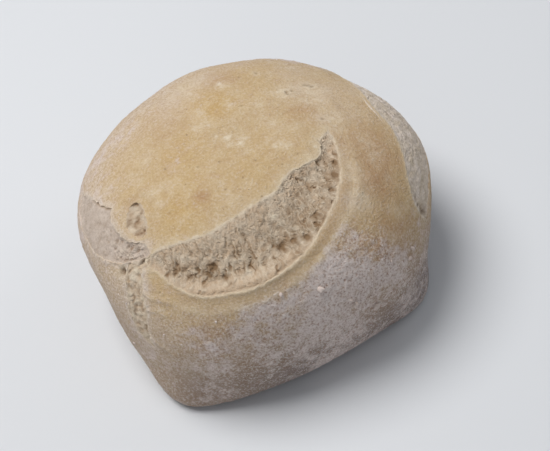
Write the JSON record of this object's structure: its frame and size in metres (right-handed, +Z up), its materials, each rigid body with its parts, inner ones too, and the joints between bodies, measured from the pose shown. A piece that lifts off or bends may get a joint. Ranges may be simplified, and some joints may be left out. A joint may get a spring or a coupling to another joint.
{
  "type": "bread roll",
  "caption": "Small floury bread roll, whole and unsliced, with a domed matte crust torn open along the front, a corner and one side, on a flat baked base.",
  "frame": {"origin": "centre of the bounding box at the flat base, on the surface the roll stands on", "axes": "+Z up through the domed top; -Y towards the front with the long tear; +X towards the right side with the high side tear"},
  "size_m": [0.096, 0.09, 0.0546],
  "materials": {
    "crust": "matte floury baked crust, pale tan with lighter dusty patches",
    "crumb": "matte open crumb, grey beige, with small dark bubbles",
    "flour": "dry baking flour, matte and pale"
  },
  "bodies": {
    "root": {"bread_roll": "crust"}
  },
  "joints": []
}
